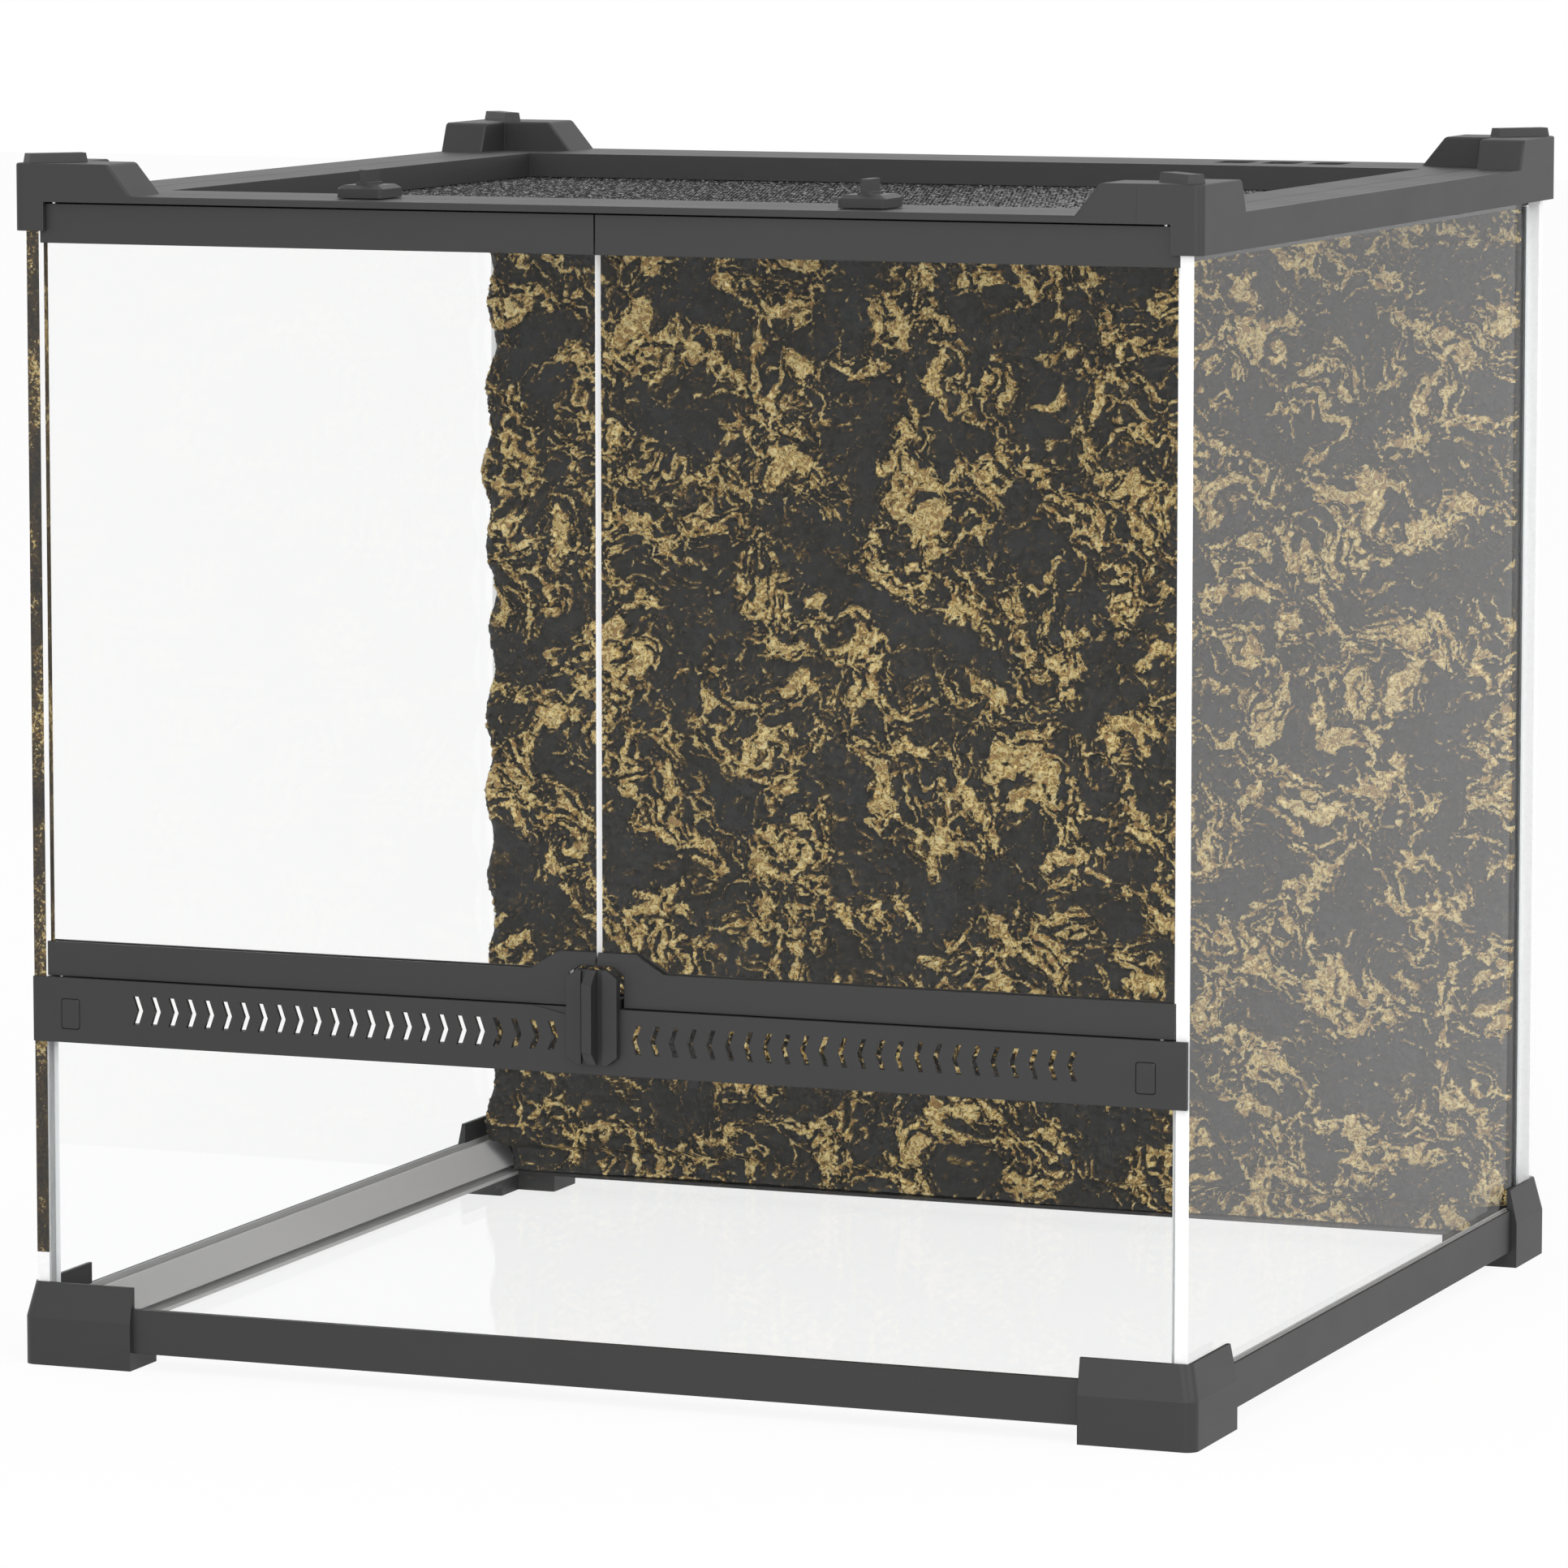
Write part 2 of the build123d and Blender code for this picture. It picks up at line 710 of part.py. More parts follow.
# ---------------------------------------------------------------- doors


def door_strip_top(side):
    """The channel along the top of a door."""
    inner = side * door_split / 2
    outer = side * door_outer
    bottom = door_top - door_top_strip
    with BuildPart() as strip:
        block(inner, outer, door_y0, door_y1, bottom, door_top)
        block(0, side * frame_half, door_glass_y0, door_glass_y1,
              bottom, door_top - strip_web_top, Mode.SUBTRACT)
        web_bottom = door_top - strip_web_top
        post_z(side * hinge_x, hinge_place, pin_radius + pin_press, web_bottom, door_top, Mode.SUBTRACT)
    finish(strip, f"door_strip_top_{hand(side)}")


def door_strip_bottom(side):
    """The channel along the bottom of a door, with its grip tab and the notch round the latch."""
    inner = side * door_split / 2
    outer = side * door_outer
    with BuildPart() as strip:
        block(inner, outer, door_y0, door_y1, door_bottom, tab_foot)
        tab = [
            (inner, tab_foot),
            (side * tab_base, tab_foot),
            (side * tab_crown, tab_top),
            (inner, tab_top),
        ]
        prism_y(tab, door_y0, door_y1)
        block(0, side * frame_half, door_glass_y0, door_glass_y1,
              door_bottom + strip_web_bottom, tab_top, Mode.SUBTRACT)
        for low_y, high_y in ((door_y0, door_glass_y0), (door_y1, door_glass_y1)):
            bevel = [(low_y, tab_top - tab_bevel), (high_y, tab_top), (low_y, tab_top)]
            prism_x(bevel, inner, side * tab_base, Mode.SUBTRACT)
        notch = [
            (0, door_bottom),
            (side * notch_half, door_bottom),
            (side * notch_half, notch_top - latch_cut_z),
            (side * (notch_half - latch_cut_x), notch_top),
            (0, notch_top),
        ]
        prism_y(notch, door_y0, door_y1, Mode.SUBTRACT)
        pin_z = door_bottom + strip_web_bottom
        post_z(side * hinge_x, hinge_place, pin_radius + pin_press, door_bottom, pin_z, Mode.SUBTRACT)
    finish(strip, f"door_strip_bottom_{hand(side)}")


def door_pane(side):
    """The glass of a door, with its lower free corner cut away for the latch."""
    bottom = door_bottom + strip_web_bottom
    top = door_top - strip_web_top
    with BuildPart() as pane:
        inner = side * door_glass_split / 2
        outer = side * (door_outer - door_glass_inset)
        block(inner, outer, door_glass_y0, door_glass_y1, bottom, top)
        nip = side * (notch_half + fit)
        block(0, nip, door_glass_y0, door_glass_y1, bottom, notch_top + fit, Mode.SUBTRACT)
    finish(pane, f"door_pane_{hand(side)}")


def hinge_pins(side):
    """The two pins on the door's axis."""
    upper_foot = door_top - strip_web_top
    with BuildPart() as upper:
        post_z(side * hinge_x, hinge_place, pin_radius, upper_foot, frame_floor + pin_upper_reach)
    finish(upper, f"hinge_pin_upper_{hand(side)}")
    lower_head = door_bottom + strip_web_bottom
    with BuildPart() as lower:
        post_z(side * hinge_x, hinge_place, pin_radius, vent_top - pin_lower_reach, lower_head)
    finish(lower, f"hinge_pin_lower_{hand(side)}")


for side in (-1, 1):
    door_strip_top(side)
    door_strip_bottom(side)
    door_pane(side)
    hinge_pins(side)

# ---------------------------------------------------------------- front latch

spindle_end = vent_y1 + fit + 2 * retainer_thick
with BuildPart() as latch:
    plate = octagon(0, latch_level, latch_width, latch_height, latch_cut_x, latch_cut_z)
    prism_y(plate, latch_face, latch_back)
    for side in (-1, 1):
        groove_x = side * ridge_width / 2
        block(groove_x, groove_x + side * groove_width, latch_face, latch_face + groove_depth,
              latch_level - latch_height, latch_level + latch_height, Mode.SUBTRACT)
    ridge_half = latch_height / 2
    crest = latch_face - ridge_height
    ridge = [
        (latch_face, latch_level - ridge_half),
        (crest, latch_level - ridge_half + ridge_height),
        (crest, latch_level + ridge_half - ridge_height),
        (latch_face, latch_level + ridge_half),
    ]
    prism_x(ridge, -ridge_width / 2, ridge_width / 2)
    post_y(0, latch_level, latch_spindle, latch_back, spindle_end)
finish(latch, "front_latch_knob")

with BuildPart() as retainer:
    retainer_y = vent_y1 + fit
    post_y(0, latch_level, retainer_radius, retainer_y, retainer_y + retainer_thick)
    post_y(0, latch_level, latch_spindle + pin_press, retainer_y, retainer_y + retainer_thick, Mode.SUBTRACT)
finish(retainer, "front_latch_retainer")

# ---------------------------------------------------------------- lid


def ring(half_x, y0, y1, wall, z0, z1):
    """A rectangular ring with its inside at half_x, y0 and y1."""
    block(-half_x - wall, half_x + wall, y0 - wall, y1 + wall, z0, z1)
    block(-half_x, half_x, y0, y1, z0, z1, Mode.SUBTRACT)


with BuildPart() as lid:
    ring(open_half, open_y0, open_y1, lid_flange, lid_bottom, lid_bottom + lid_flange_thick)
    block(-open_half - lid_wall, open_half + lid_wall, open_y0 - lid_wall,
          open_y1 + lid_wall, lid_bottom + lid_flange_thick, frame_top - lid_plate)
    block(-lid_half, lid_half, lid_y0, lid_y1, frame_top - lid_plate, frame_top)
    block(-open_half, open_half, open_y0, open_y1, lid_bottom, frame_top, Mode.SUBTRACT)
    for side in (-1, 1):
        hole = knob_spindle + pin_running
        post_z(side * knob_x, lid_y0 + knob_inset, hole, frame_top - lid_plate, frame_top, Mode.SUBTRACT)
finish(lid, "lid_frame")

mesh_half = open_half + lid_flange
with BuildPart() as mesh:
    pitch_x = (2 * open_half + mesh_bar) / mesh_across
    pitch_y = (open_y1 - open_y0 + mesh_bar) / mesh_along
    with BuildSketch(Plane.XY.offset(lid_bottom - mesh_thick)):
        with Locations((0, (open_y0 + open_y1) / 2)):
            Rectangle(2 * mesh_half, open_y1 - open_y0 + 2 * lid_flange)
            with GridLocations(pitch_x, pitch_y, mesh_across, mesh_along):
                Rectangle(pitch_x - mesh_bar, pitch_y - mesh_bar, mode=Mode.SUBTRACT)
    extrude(amount=mesh_thick)
finish(mesh, "lid_mesh")

with BuildPart() as mesh_ring:
    ring_top = lid_bottom - mesh_thick
    ring(open_half + retainer_step, open_y0 - retainer_step, open_y1 + retainer_step,
         retainer_width, ring_top - retainer_drop, ring_top)
finish(mesh_ring, "mesh_retainer")

for side in (-1, 1):
    knob_bottom = frame_top + fit
    knob_top = knob_bottom + knob_thick
    cam_top = frame_top - lid_plate - fit
    centre_x = side * knob_x
    centre_y = lid_y0 + knob_inset
    plate_y = centre_y - knob_forward
    outline = octagon(centre_x, plate_y, knob_width, knob_length, knob_cut, knob_cut)
    wall_top = knob_top - knob_crown
    with BuildPart() as knob:
        prism_z(outline, knob_bottom, wall_top)
        with BuildSketch(Plane.XY.offset(wall_top)) as crown:
            with BuildLine():
                Polyline(*outline, close=True)
            make_face()
        extrude(crown.sketch, amount=knob_crown, taper=crown_slope)
        half_foot = fin_thick / 2 + fin_foot
        half_fin = fin_length / 2
        block(centre_x - half_foot, centre_x + half_foot, plate_y - half_fin - fin_foot,
              plate_y + half_fin + fin_foot, knob_top, knob_top + fin_foot)
        block(centre_x - fin_thick / 2, centre_x + fin_thick / 2, plate_y - half_fin,
              plate_y + half_fin, knob_top, knob_top + fin_height)
        post_z(centre_x, centre_y, knob_spindle, cam_top - cam_thick, knob_bottom)
    finish(knob, f"lid_knob_{hand(side)}")
    with BuildPart() as cam:
        prism_z(octagon(centre_x, centre_y, cam_length, cam_width, fin_thick, fin_thick),
                cam_top - cam_thick, cam_top)
        bore = knob_spindle + pin_press
        post_z(centre_x, centre_y, bore, cam_top - cam_thick, cam_top, Mode.SUBTRACT)
    finish(cam, f"lid_cam_{hand(side)}")

# ---------------------------------------------------------------- backdrop

backdrop_y1 = rear_inner - fit
backdrop_y0 = backdrop_y1 - backdrop_thick
backdrop_half = glass_inner - 2 * fit
backdrop_top = flange_bottom - fit
rail_crest = floor_z0 + base_web_height - base_sole + fit


def torn_edge():
    """The torn left edge of the backdrop: two waves added, as (x, z) points from the floor up."""
    edge = []
    for number in range(backdrop_points):
        share = number / (backdrop_points - 1)
        z = floor_z1 + share * (backdrop_top - floor_z1)
        turn = 2 * math.pi * share
        wave = math.sin(backdrop_swells * turn - 1) + math.sin(backdrop_ripples * turn)
        edge.append((backdrop_wave * (2 + wave) - backdrop_half, z))
    return edge


def rock_point(column, row):
    """A corner of the rock face's facets: crossed swells that lean over each other."""
    across = column / rock_columns
    up = row / rock_rows
    turn_x = 2 * math.pi * rock_turns_x * across
    turn_z = 2 * math.pi * rock_turns_z * up
    first = math.sin(turn_x + rock_bend * math.sin(turn_z))
    second = math.sin(turn_z + rock_bend * math.sin(0.5 * turn_x + 1))
    return (
        (2 * across - 1) * glass_inner,
        backdrop_y0 + rock_depth * (2 - first - second) / 4,
        floor_z1 + up * (backdrop_top - floor_z1),
    )


def rock_slab():
    """A slab with the faceted rock face in front and a flat back, as wide as the glass allows."""
    facets = []
    for column in range(rock_columns):
        for row in range(rock_rows):
            low = rock_point(column, row)
            beside = rock_point(column + 1, row)
            above = rock_point(column, row + 1)
            across = rock_point(column + 1, row + 1)
            facets.append(Face(Wire.make_polygon([low, beside, across])))
            facets.append(Face(Wire.make_polygon([low, across, above])))
    for row in (0, rock_rows):
        line = [rock_point(column, row) for column in range(rock_columns + 1)]
        ends = [(x, backdrop_y1, line[0][2]) for x in (glass_inner, -glass_inner)]
        facets.append(Face(Wire.make_polygon(line + ends)))
    for column in (0, rock_columns):
        line = [rock_point(column, row) for row in range(rock_rows + 1)]
        ends = [(line[0][0], backdrop_y1, z) for z in (backdrop_top, floor_z1)]
        facets.append(Face(Wire.make_polygon(line + ends)))
    corners = [(-1, floor_z1), (1, floor_z1), (1, backdrop_top), (-1, backdrop_top)]
    facets.append(Face(Wire.make_polygon([(x * glass_inner, backdrop_y1, z) for x, z in corners])))
    return Solid(Shell(facets))


with BuildPart() as backdrop:
    with BuildSketch(Plane.XZ.offset(-backdrop_y0)):
        with BuildLine():
            left = torn_edge()
            Spline(*left)
            Polyline(left[0], (backdrop_half, floor_z1), (backdrop_half, backdrop_top), left[-1])
        make_face()
    extrude(amount=backdrop_y0 - backdrop_y1)
    add(rock_slab(), mode=Mode.INTERSECT)
    for side in (-1, 1):
        heel = [
            (side * glass_inner, backdrop_y1),
            (side * glass_inner, backdrop_y1 - backdrop_cut),
            (side * (glass_inner - backdrop_cut), backdrop_y1),
        ]
        prism_z(heel, floor_z1, backdrop_top, Mode.SUBTRACT)
        lip_x = side * (base_half - base_lip_in - fit)
        block(lip_x, side * glass_half, backdrop_y0, backdrop_y1, floor_z1, rail_crest, Mode.SUBTRACT)
    lip_y = base_y1 - base_lip_in - fit
    block(-glass_half, glass_half, lip_y, backdrop_y1, floor_z1, rail_crest, Mode.SUBTRACT)
finish(backdrop, "backdrop")
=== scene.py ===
import math

import bpy
import numpy as np
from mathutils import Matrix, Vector


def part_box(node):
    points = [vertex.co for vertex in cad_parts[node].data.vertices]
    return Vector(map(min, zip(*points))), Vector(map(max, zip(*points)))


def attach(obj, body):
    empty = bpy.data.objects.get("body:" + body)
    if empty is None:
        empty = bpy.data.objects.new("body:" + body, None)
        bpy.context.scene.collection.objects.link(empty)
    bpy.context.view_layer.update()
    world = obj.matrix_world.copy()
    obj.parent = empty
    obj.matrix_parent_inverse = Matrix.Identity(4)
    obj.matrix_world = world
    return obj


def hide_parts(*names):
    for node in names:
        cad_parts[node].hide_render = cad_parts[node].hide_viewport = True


# The looks of a front-opening glass terrarium. Metres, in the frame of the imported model:
# +X to the right, -Y out of the doors, +Z up. Sizes named _mm are millimetres.

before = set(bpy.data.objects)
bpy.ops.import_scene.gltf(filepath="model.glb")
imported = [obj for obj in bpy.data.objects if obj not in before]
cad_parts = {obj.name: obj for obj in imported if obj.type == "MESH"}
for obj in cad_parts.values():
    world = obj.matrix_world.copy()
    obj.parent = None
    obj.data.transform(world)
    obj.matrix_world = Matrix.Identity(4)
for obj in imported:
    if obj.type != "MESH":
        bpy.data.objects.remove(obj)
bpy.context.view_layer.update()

MM = 0.001

# ---------------------------------------------------------------- camera

camera_place = (1.15303, -2.95279, 0.58518)
camera_down = 6.862        # degrees below the horizon
camera_turn = 21.509       # degrees from looking along +Y
camera_lens = 190.83
camera_sensor = 36.0


def make_camera():
    """The photograph's view."""
    data = bpy.data.cameras.new("camera")
    data.lens = camera_lens
    data.sensor_width = camera_sensor
    data.clip_start = 0.05
    data.clip_end = 60
    camera = bpy.data.objects.new("camera", data)
    camera.location = camera_place
    camera.rotation_euler = (math.radians(90 - camera_down), 0, math.radians(camera_turn))
    bpy.context.scene.collection.objects.link(camera)
    bpy.context.scene.camera = camera


# ---------------------------------------------------------------- node helpers

class Tree:
    """A material's or a world's node tree, with short ways to add to it."""

    def __init__(self, owner):
        owner.use_nodes = True
        self.tree = owner.node_tree
        self.tree.nodes.clear()

    def add(self, kind, **settings):
        """A node with the given attributes set."""
        node = self.tree.nodes.new(kind)
        for name, value in settings.items():
            setattr(node, name, value)
        return node

    def link(self, source, target):
        self.tree.links.new(source, target)

    def set(self, socket, value):
        """Link the value if it is a socket, or else write it."""
        if isinstance(value, bpy.types.NodeSocket):
            self.link(value, socket)
        else:
            socket.default_value = value

    def math(self, operation, first, second=None):
        node = self.add("ShaderNodeMath", operation=operation)
        for socket, value in zip(node.inputs, (first, second)):
            if value is not None:
                self.set(socket, value)
        return node.outputs[0]

    def map(self, value, low, high, to_low, to_high, smooth=False):
        """Map a value from one range to another, clamped."""
        node = self.add("ShaderNodeMapRange")
        if smooth:
            node.interpolation_type = "SMOOTHSTEP"
        for socket, number in zip(node.inputs, (value, low, high, to_low, to_high)):
            self.set(socket, number)
        return node.outputs[0]

    def mix(self, share, first, second):
        """A mix of two colours."""
        node = self.add("ShaderNodeMix", data_type="RGBA")
        self.set(node.inputs[0], share)
        self.set(node.inputs[6], first)
        self.set(node.inputs[7], second)
        return node.outputs[2]

    def place(self, stretch=(1, 1, 1)):
        """The place on the object in metres, which stays with the object as it moves."""
        source = self.add("ShaderNodeTexCoord").outputs["Object"]
        if stretch == (1, 1, 1):
            return source
        node = self.add("ShaderNodeMapping")
        node.inputs["Scale"].default_value = stretch
        self.link(source, node.inputs["Vector"])
        return node.outputs[0]

    def noise(self, size_mm, detail=3.0, rough=0.55, where=None, warp=0.0):
        """Noise whose features are about size_mm across."""
        node = self.add("ShaderNodeTexNoise")
        self.set(node.inputs["Vector"], where or self.place())
        node.inputs["Scale"].default_value = 1 / (size_mm * MM)
        node.inputs["Detail"].default_value = detail
        node.inputs["Roughness"].default_value = rough
        node.inputs["Distortion"].default_value = warp
        return node.outputs["Fac"]

    def bump(self, height, depth_mm, before=None):
        """A normal from a height between 0 and 1."""
        node = self.add("ShaderNodeBump")
        node.inputs["Strength"].default_value = 1.0
        node.inputs["Distance"].default_value = depth_mm * MM
        self.link(height, node.inputs["Height"])
        if before is not None:
            self.link(before, node.inputs["Normal"])
        return node.outputs[0]


def grey(level):
    return (level, level, level, 1)


# ---------------------------------------------------------------- studio

floor_half = 9.0           # half the floor's width
room_light = 0.80          # of the surroundings on dull surfaces
floor_share = 0.905        # of the floor's own white, as seen
floor_colour = 0.93
lamps = (                  # name, place, aim, size, watts
    ("key", (1.2, -1.6, 2.4), (0, 0, 0.25), (1.8, 1.8), 16),
    ("side", (2.6, -0.9, 1.3), (0, 0, 0.25), (1.6, 1.6), 22),
    ("front", (0.3, -3.0, 0.9), (0, 0, 0.22), (2.0, 1.4), 24),
)


def seen_directly(tree):
    """1 for rays from the camera and those that a mirror or a pane passes on."""
    path = tree.add("ShaderNodeLightPath")
    first = tree.math("MAXIMUM", path.outputs["Is Camera Ray"], path.outputs["Is Glossy Ray"])
    return tree.math("MAXIMUM", first, path.outputs["Is Transmission Ray"])


def make_world():
    world = bpy.data.worlds.new("studio")
    bpy.context.scene.world = world
    tree = Tree(world)
    dull = tree.add("ShaderNodeBackground")
    dull.inputs["Color"].default_value = grey(1)
    dull.inputs["Strength"].default_value = room_light
    seen = tree.add("ShaderNodeBackground")
    seen.inputs["Color"].default_value = grey(1)
    mix = tree.add("ShaderNodeMixShader")
    tree.link(seen_directly(tree), mix.inputs[0])
    tree.link(dull.outputs[0], mix.inputs[1])
    tree.link(seen.outputs[0], mix.inputs[2])
    tree.link(mix.outputs[0], tree.add("ShaderNodeOutputWorld").inputs[0])


def make_floor():
    mesh = bpy.data.meshes.new("floor")
    corners = [(-floor_half, -floor_half, 0), (floor_half, -floor_half, 0),
               (floor_half, floor_half, 0), (-floor_half, floor_half, 0)]
    mesh.from_pydata(corners, [], [(0, 1, 2, 3)])
    floor = bpy.data.objects.new("floor", mesh)
    bpy.context.scene.collection.objects.link(floor)
    material = bpy.data.materials.new("floor")
    tree = Tree(material)
    dull = tree.add("ShaderNodeBsdfDiffuse")
    dull.inputs["Color"].default_value = grey(floor_colour)
    own = tree.add("ShaderNodeEmission")
    own.inputs["Color"].default_value = grey(1)
    mix = tree.add("ShaderNodeMixShader")
    tree.link(tree.math("MULTIPLY", seen_directly(tree), floor_share), mix.inputs[0])
    tree.link(dull.outputs[0], mix.inputs[1])
    tree.link(own.outputs[0], mix.inputs[2])
    tree.link(mix.outputs[0], tree.add("ShaderNodeOutputMaterial").inputs[0])
    mesh.materials.append(material)


def make_lamp(name, place, aim, size, watts):
    data = bpy.data.lights.new(name, "AREA")
    data.shape = "RECTANGLE"
    data.size, data.size_y = size
    data.energy = watts
    lamp = bpy.data.objects.new(name, data)
    lamp.location = place
    lamp.rotation_euler = (Vector(aim) - Vector(place)).to_track_quat("-Z", "Y").to_euler()
    bpy.context.scene.collection.objects.link(lamp)


# ---------------------------------------------------------------- materials

frame_level = 0.0225       # brightness of the frame's plastic
frame_rough = 0.46
fitting_level = 0.021
fitting_rough = 0.40
painted_light_level = 0.44          # painted light: how pale the insides of the bottom side rails are coloured
painted_reflection_left_of = -0.19   # painted reflection on the panes' front edges left of this, in metres along X
painted_reflection_from_mm = 42      # height from which a pane's front edge has the painted reflection of the backdrop
rail_highlight_lines_mm = (3.0, 9.0, 15.0)    # painted highlight lines, from the outer edge of a side rail
line_level = 0.4355        # height of the top of the side rails
line_slack_mm = 0.5        # the lines lie above that height less this
line_reach = 0.168         # the lines stop at the feet
line_half_mm = 0.15
line_fade_mm = 0.4         # half the line's width where it has faded out
line_highlight_lift = 4              # the painted highlight lines are this many times as bright as the plastic


def moulded_plastic(name, level, roughness, grain_mm=0.55, round_mm=0.35, painted_light_within=None, highlight_line_places=()):
    """Charcoal moulded plastic: a fine grain, faint flow marks, edges rounded by the mould.

    Within a given distance of the middle plane, in metres, it is coloured paler: painted light on the
    insides of the bottom side rails. Painted highlight lines run along Y at the given distances from the
    middle plane, where fine steps in the rails' tops would catch the light."""
    material = bpy.data.materials.new(name)
    tree = Tree(material)
    shader = tree.add("ShaderNodeBsdfPrincipled")
    flow = tree.noise(38, 3, where=tree.place((1, 1, 2.2)))
    grain = tree.noise(grain_mm, 2)
    tone = tree.map(flow, 0.3, 0.7, 0.92, 1.08)
    fleck = tree.map(grain, 0.3, 0.7, 0.95, 1.05)
    colour = tree.mix(tree.math("MULTIPLY", tone, fleck), grey(0), (level, level, level * 1.02, 1))
    # Painted light: the insides of the bottom side rails are coloured paler, for the light they catch.
    if painted_light_within is not None:
        parts = tree.add("ShaderNodeSeparateXYZ")
        tree.link(tree.place(), parts.inputs[0])
        inside = tree.math("LESS_THAN", tree.math("ABSOLUTE", parts.outputs[0]), painted_light_within)
        colour = tree.mix(inside, colour, grey(painted_light_level))
    # Painted highlights: bright lines on the tops of the side rails, where fine steps would catch the light.
    if highlight_line_places:
        parts = tree.add("ShaderNodeSeparateXYZ")
        tree.link(tree.place(), parts.inputs[0])
        across = tree.math("ABSOLUTE", parts.outputs[0])
        on_top = tree.math("GREATER_THAN", parts.outputs[2], line_level - line_slack_mm * MM)
        between = tree.math("LESS_THAN", tree.math("ABSOLUTE", parts.outputs[1]), line_reach)
        on_top = tree.math("MULTIPLY", on_top, between)
        for line in highlight_line_places:
            beside = tree.math("ABSOLUTE", tree.math("SUBTRACT", across, line))
            highlight_line = tree.map(beside, line_half_mm * MM, line_fade_mm * MM, 1, 0)
            colour = tree.mix(tree.math("MULTIPLY", on_top, highlight_line), colour, grey(line_highlight_lift * level))
    tree.link(colour, shader.inputs["Base Color"])
    dull = tree.math("ADD", tree.math("MULTIPLY", flow, 0.10), roughness - 0.05)
    tree.link(tree.math("ADD", dull, tree.math("MULTIPLY", grain, 0.06)), shader.inputs["Roughness"])
    edge = tree.add("ShaderNodeBevel", samples=4)
    edge.inputs["Radius"].default_value = round_mm * MM
    tree.link(tree.bump(grain, 0.018, edge.outputs[0]), shader.inputs["Normal"])
    shader.inputs["IOR"].default_value = 1.46
    tree.link(shader.outputs[0], tree.add("ShaderNodeOutputMaterial").inputs[0])
    return material


def clear_glass(name, bend, flat_axis=None, edge_share=0.0, tint=0.998, painted_reflection_edge=False, calm_from=None):
    """Clear glass that lets the lamps through. Its edges, across flat_axis, may be ground.

    An edge with the painted reflection has the backdrop's colours, dimmed, painted into its upper part: a
    painted reflection of the backdrop that the pane leads to the front. Behind calm_from, in metres along Y,
    the pane mirrors next to nothing."""
    material = bpy.data.materials.new(name)
    tree = Tree(material)
    shader = tree.add("ShaderNodeBsdfPrincipled")
    shader.inputs["Base Color"].default_value = (tint - 0.002, tint, tint - 0.001, 1)
    shader.inputs["Transmission Weight"].default_value = 1.0
    if calm_from is None:
        shader.inputs["IOR"].default_value = bend
    else:
        along = tree.add("ShaderNodeSeparateXYZ")
        tree.link(tree.place(), along.inputs[0])
        tree.link(tree.map(along.outputs[1], calm_from, calm_from + MM, bend, 1.01), shader.inputs["IOR"])
    smear = tree.noise(60, 2)
    tree.link(tree.map(smear, 0.45, 0.8, 0.0, 0.004), shader.inputs["Roughness"])
    surface = shader.outputs[0]
    if flat_axis is not None:
        turned = tree.add("ShaderNodeVectorTransform", vector_type="NORMAL")
        turned.convert_from, turned.convert_to = "WORLD", "OBJECT"
        tree.link(tree.add("ShaderNodeNewGeometry").outputs["True Normal"], turned.inputs[0])
        parts = tree.add("ShaderNodeSeparateXYZ")
        tree.link(turned.outputs[0], parts.inputs[0])
        facing = tree.math("ABSOLUTE", parts.outputs[flat_axis])
        on_edge = tree.math("LESS_THAN", facing, 0.5)
        ground = tree.add("ShaderNodeBsdfPrincipled")
        colour = tree.mix(tree.noise(1.2, 3), grey(0.82), grey(0.95))
        # Painted reflection: the backdrop's colours, dimmed, painted on the front left edges.
        if painted_reflection_edge:
            streaks = tree.noise(9, 4, where=tree.place((1, 1, 0.5)))
            painted_reflection_colour = tree.mix(0.55, rock_colours(tree, streaks)[0], grey(0.01))
            colour = tree.mix(painted_reflection_share(tree), colour, painted_reflection_colour)
        tree.link(colour, ground.inputs["Base Color"])
        ground.inputs["Roughness"].default_value = 0.35
        ends = tree.add("ShaderNodeMixShader")
        tree.link(tree.math("MULTIPLY", on_edge, edge_share), ends.inputs[0])
        tree.link(surface, ends.inputs[1])
        tree.link(ground.outputs[0], ends.inputs[2])
        surface = ends.outputs[0]
    path = tree.add("ShaderNodeLightPath")
    let_through = tree.math("MAXIMUM", path.outputs["Is Shadow Ray"], path.outputs["Is Diffuse Ray"])
    through = tree.add("ShaderNodeBsdfTransparent")
    mix = tree.add("ShaderNodeMixShader")
    tree.link(let_through, mix.inputs[0])
    tree.link(surface, mix.inputs[1])
    tree.link(through.outputs[0], mix.inputs[2])
    tree.link(mix.outputs[0], tree.add("ShaderNodeOutputMaterial").inputs[0])
    return material


def painted_reflection_share(tree):
    """Where the painted reflection goes: 1 on the front left edges of the panes above the bottom rail, 0
    elsewhere.
    """
    place = tree.add("ShaderNodeSeparateXYZ")
    tree.link(tree.place(), place.inputs[0])
    leftmost = tree.math("LESS_THAN", place.outputs[0], painted_reflection_left_of)
    foremost = tree.math("LESS_THAN", place.outputs[1], 0.0)
    above_rail = tree.math("GREATER_THAN", place.outputs[2], painted_reflection_from_mm * MM)
    return tree.math("MULTIPLY", tree.math("MULTIPLY", leftmost, foremost), above_rail)


